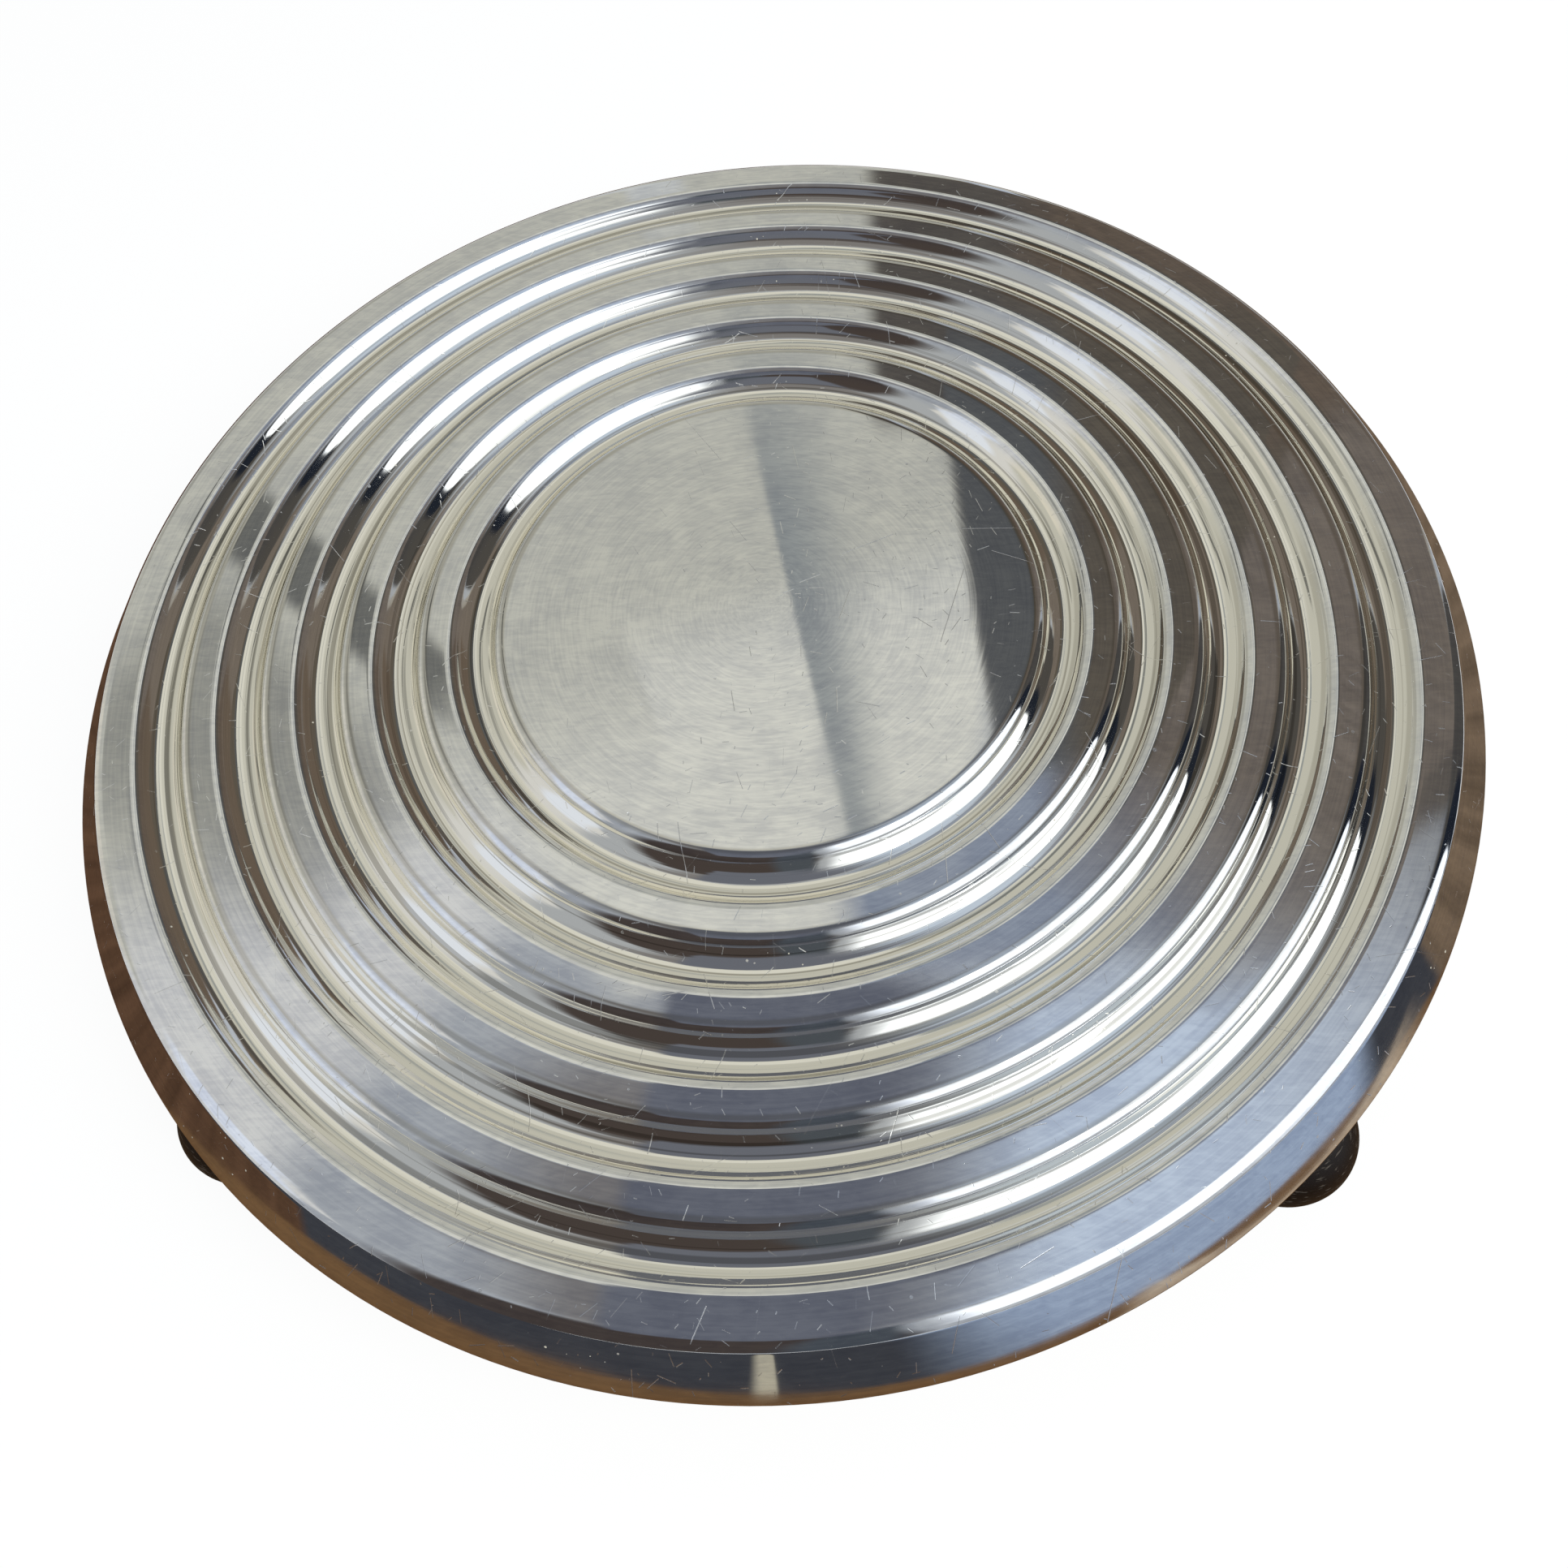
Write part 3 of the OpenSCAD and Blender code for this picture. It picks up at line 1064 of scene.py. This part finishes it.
    def lying(
            self, name, colour, height, sides, ends, soft,
            cover=1.0, lean=0, grain=0.0, round_edge=False):
        """A lying card; sides and ends are metres to the right of the middle of the plate and away from it"""
        left, right = sides
        near, far = ends
        place = (
            Matrix.Translation(((left + right) / 2, (near + far) / 2, height))
            @ Matrix.Rotation(math.radians(-lean), 4, "Z"))
        self.card(name, colour, place, right - left, far - near, soft, cover, 1.0, grain, round_edge)

    def standing_cards(self):
        """Cards and softboxes that stand round the plate, for it to mirror"""
        # Left and back: pale, with a few shades and strips
        self.standing("left_card", "#D4D5D5", -47, 2.1, (-117, 0), (0, 66), (0.8, 1.5, 0, 0.9))
        self.standing(
            "left_softbox", "#D6DDEA", -100, 0.95, (-108, -86), (8, 58), (0.08, 0.08, 0.1, 0.3),
            strength=1.1, lean=22)
        self.standing("back_card", "#BFBFB6", -18, 0.8, (-89, 28), (0, 63), (0.55, 0.1, 0, 0.5))
        self.standing("back_high_card", "#D7D7CF", -10, 0.79, (-45, 22), (52, 74), (0.2, 0.1, 0.3, 0.1))
        self.standing(
            "back_left_shade", "#5F605E", -48, 0.78, (-66, -41), (39, 59), (0.15, 0.08, 0.08, 0.25),
            cover=0.5)
        self.standing(
            "back_left_bar", "#5F605E", -37, 0.76, (-41, -34.5), (37, 56), (0.02, 0.02, 0.03, 0.2),
            cover=0.9, lean=9)
        self.standing(
            "back_shade", "#8A9093", 0, 0.77, (-0.4, 9.2), (30, 74), (0.008, 0.12, 0.5, 0.3),
            cover=0.9, lean=3.3)
        self.standing(
            "back_strip", "#C9CCCC", -9, 0.75, (-11.2, -6.8), (3, 36), (0.012, 0.012, 0.1, 0.1), lean=8.7)
        self.standing(
            "left_low_card", "#DCD8CC", -76, 0.79, (-92, -60), (1, 28), (0.12, 0.12, 0, 0.15), cover=0.8)
        self.standing(
            "back_low_shade", "#8F8D82", -37, 0.78, (-60, -14), (6, 32), (0.15, 0.15, 0.05, 0.15),
            cover=0.5)

        # Right: brown and dark, with two pale strips
        self.standing(
            "right_card", "#716962", 46, 0.75, (28, 64), (2, 72), (0.02, 0.03, 0.02, 1.2), grain=0.3)
        self.standing(
            "right_dark_card", "#4B4947", 76, 0.745, (62, 88.5), (0, 60), (0.02, 0.03, 0, 0.5), lean=-8)
        self.standing(
            "right_strip", "#9A948A", 63.5, 0.74, (62, 65), (0, 36), (0.01, 0.01, 0, 0.15), cover=0.8)
        self.standing("back_dark_card", "#57534F", 8, 0.715, (5.8, 20), (29, 46), (0.02, 0.08, 0.02, 0.06))
        self.standing(
            "right_leaning_card", "#655A50", 46, 0.74, (10.1, 42.7), (5.5, 53.7), (0.03, 0.05, 0, 0.05),
            lean=-26, grain=0.3)
        self.standing(
            "right_cool_strip", "#BCC5D4", 16, 0.7, (14, 18.5), (8, 31), (0.012, 0.012, 0.06, 0.06),
            cover=0.9)
        self.standing(
            "right_brown_bar", "#5C564E", 20, 0.72, (14.8, 68.2), (31.7, 62.7), (0.02, 0.2, 0.1, 0.1),
            lean=9.3, grain=0.15)
        self.standing(
            "right_slate_bar", "#585A5C", 20, 0.71, (15.5, 28), (36.5, 64.3), (0.02, 0.06, 0.1, 0.1),
            lean=9.3)

        # Front: a bright softbox to the right of the camera, and shades to its left
        self.standing(
            "front_softbox", "#F2F8FF", 131, 0.8, (88, 172), (5, 75), (0.03, 0.2, 0.05, 1.6), strength=1.5)
        self.standing(
            "front_low_card", "#A3A7AC", 131, 0.79, (118, 172), (0, 25), (0.3, 0.1, 0, 0.1), cover=0.85)
        self.standing(
            "front_black_strip", "#20252F", 88, 0.74, (80, 90), (1, 52), (0.04, 0.012, 0, 0.3), lean=-10)
        self.standing(
            "front_strip_light", "#F8FBFF", 135, 0.78, (130, 139), (24, 68), (0.02, 0.02, 0.05, 0.6),
            strength=6.0)
        self.standing("front_shade", "#4A5058", 178, 0.78, (172, 190), (0, 72), (0.06, 0.08, 0, 1.0))
        self.standing(
            "front_left_shade", "#463F3D", -147, 0.75, (-183, -116), (0, 76), (0.1, 0.15, 0, 1.8), lean=6)

    def overhead_cards(self):
        """Cards that hang over the plate, for its lands to mirror"""
        self.lying("overhead_card", "#7C7A7B", 2.2, (-0.9, 0.3), (-1.2, 0.62), (0.35, 0.5, 0.35, 0.3))
        self.lying("overhead_right_card", "#C0CEE2", 2.1, (0.0, 1.35), (-0.6, 0.62), (0.4, 0.8, 0.2, 0.3))
        self.lying(
            "overhead_far_card", "#8A94A6", 2.05, (-0.05, 0.8), (0.46, 1.0), (0.1, 0.2, 0.1, 0.15),
            cover=0.9)
        self.lying(
            "camera_flag", "#676B77", 0.184, (-0.066, 0.044), (-0.19, -0.011), (0.006, 0.05, 0.02, 0.012),
            lean=14)

    def floor_cards(self):
        """Brown, grey and pale cards on the floor, each a little above the last, for the skirt to mirror"""
        self.lying("floor_front_card", "#3E4046", 0.4 * MM, (-1.5, 1.5), (-1.6, 0), (0.3, 0.3, 0.3, 0.05))
        self.lying(
            "floor_front_right_card", "#9BABC4", 0.5 * MM, (0.02, 1.2), (-1.4, -0.115),
            (0.08, 0.2, 0.3, 0.02))
        self.lying(
            "floor_front_strip", "#B4AE9C", 0.6 * MM, (-0.053, -0.04), (-0.45, -0.2),
            (0.006, 0.001, 0.05, 0.02), lean=10)
        self.lying(
            "floor_left_card", "#584131", 0.7 * MM, (-0.8, 0.1), (-0.135, 0.6), (0.1, 0.1, 0.006, 0.1),
            grain=0.3)
        self.lying(
            "floor_right_card", "#736251", 0.8 * MM, (0, 0.6), (-0.085, 0.6), (0.1, 0.1, 0.006, 0.1),
            grain=0.3)
        self.lying(
            "floor_near_card", "#72573C", 0.9 * MM, (-0.15, 0.16), (-0.262, 0.055), (0, 0, 0, 0),
            round_edge=True)
        self.lying(
            "floor_lit_card", "#B8A793", 1.0 * MM, (0.1017, 0.1417), (-0.2269, -0.0769),
            (0.02, 0, 0.02, 0.03), lean=24)

    def camera(self, scene):
        """A camera that stands as the photograph's did"""
        view = scene.trivet_view
        data = bpy.data.cameras.new("view_from_above")
        data.lens = view.lens
        data.shift_x = view.shift
        data.clip_start = 10 * MM
        camera = bpy.data.objects.new("view_from_above", data)
        camera.matrix_world = (
            Matrix.Translation((0, 0, self.top_z))
            @ Matrix.Rotation(view.turn, 4, "Z")
            @ Matrix.Rotation(math.pi / 2 - view.elevation, 4, "X")
            @ Matrix.Rotation(view.roll, 4, "Z")
            @ Matrix.Translation((view.right, view.up, view.distance)))
        scene.collection.objects.link(camera)
        scene.camera = camera


class TRIVET_PT_panel(bpy.types.Panel):
    """Lists the trivet's pieces and its studio"""

    bl_idname = "TRIVET_PT_panel"
    bl_label = "Trivet"
    bl_space_type = "VIEW_3D"
    bl_region_type = "UI"
    bl_category = "Trivet"

    def draw(self, context):
        for operator in OPERATORS:
            self.layout.operator(operator.bl_idname)


OPERATORS = (
    TRIVET_OT_top_shell,
    TRIVET_OT_base_plate,
    TRIVET_OT_collars,
    TRIVET_OT_feet,
    TRIVET_OT_fasteners,
    TRIVET_OT_stage,
)
GROUPS = {
    "trivet_plate": TrivetPlate,
    "trivet_feet": TrivetFeet,
    "trivet_finish": TrivetFinish,
    "trivet_view": TrivetView,
}


def register():
    """Adds the settings, the operators and the panel"""
    for name, group in GROUPS.items():
        bpy.utils.register_class(group)
        setattr(bpy.types.Scene, name, PointerProperty(type=group))
    for operator in OPERATORS:
        bpy.utils.register_class(operator)
    bpy.utils.register_class(TRIVET_PT_panel)


def unregister():
    """Takes out what register added"""
    bpy.utils.unregister_class(TRIVET_PT_panel)
    for operator in reversed(OPERATORS):
        bpy.utils.unregister_class(operator)
    for name, group in reversed(GROUPS.items()):
        delattr(bpy.types.Scene, name)
        bpy.utils.unregister_class(group)


def main():
    """Makes every piece and the studio"""
    register()
    bpy.ops.trivet.top_shell()
    bpy.ops.trivet.base_plate()
    bpy.ops.trivet.collars()
    bpy.ops.trivet.feet()
    bpy.ops.trivet.fasteners()
    bpy.ops.trivet.stage()


if __name__ == "__main__":
    main()
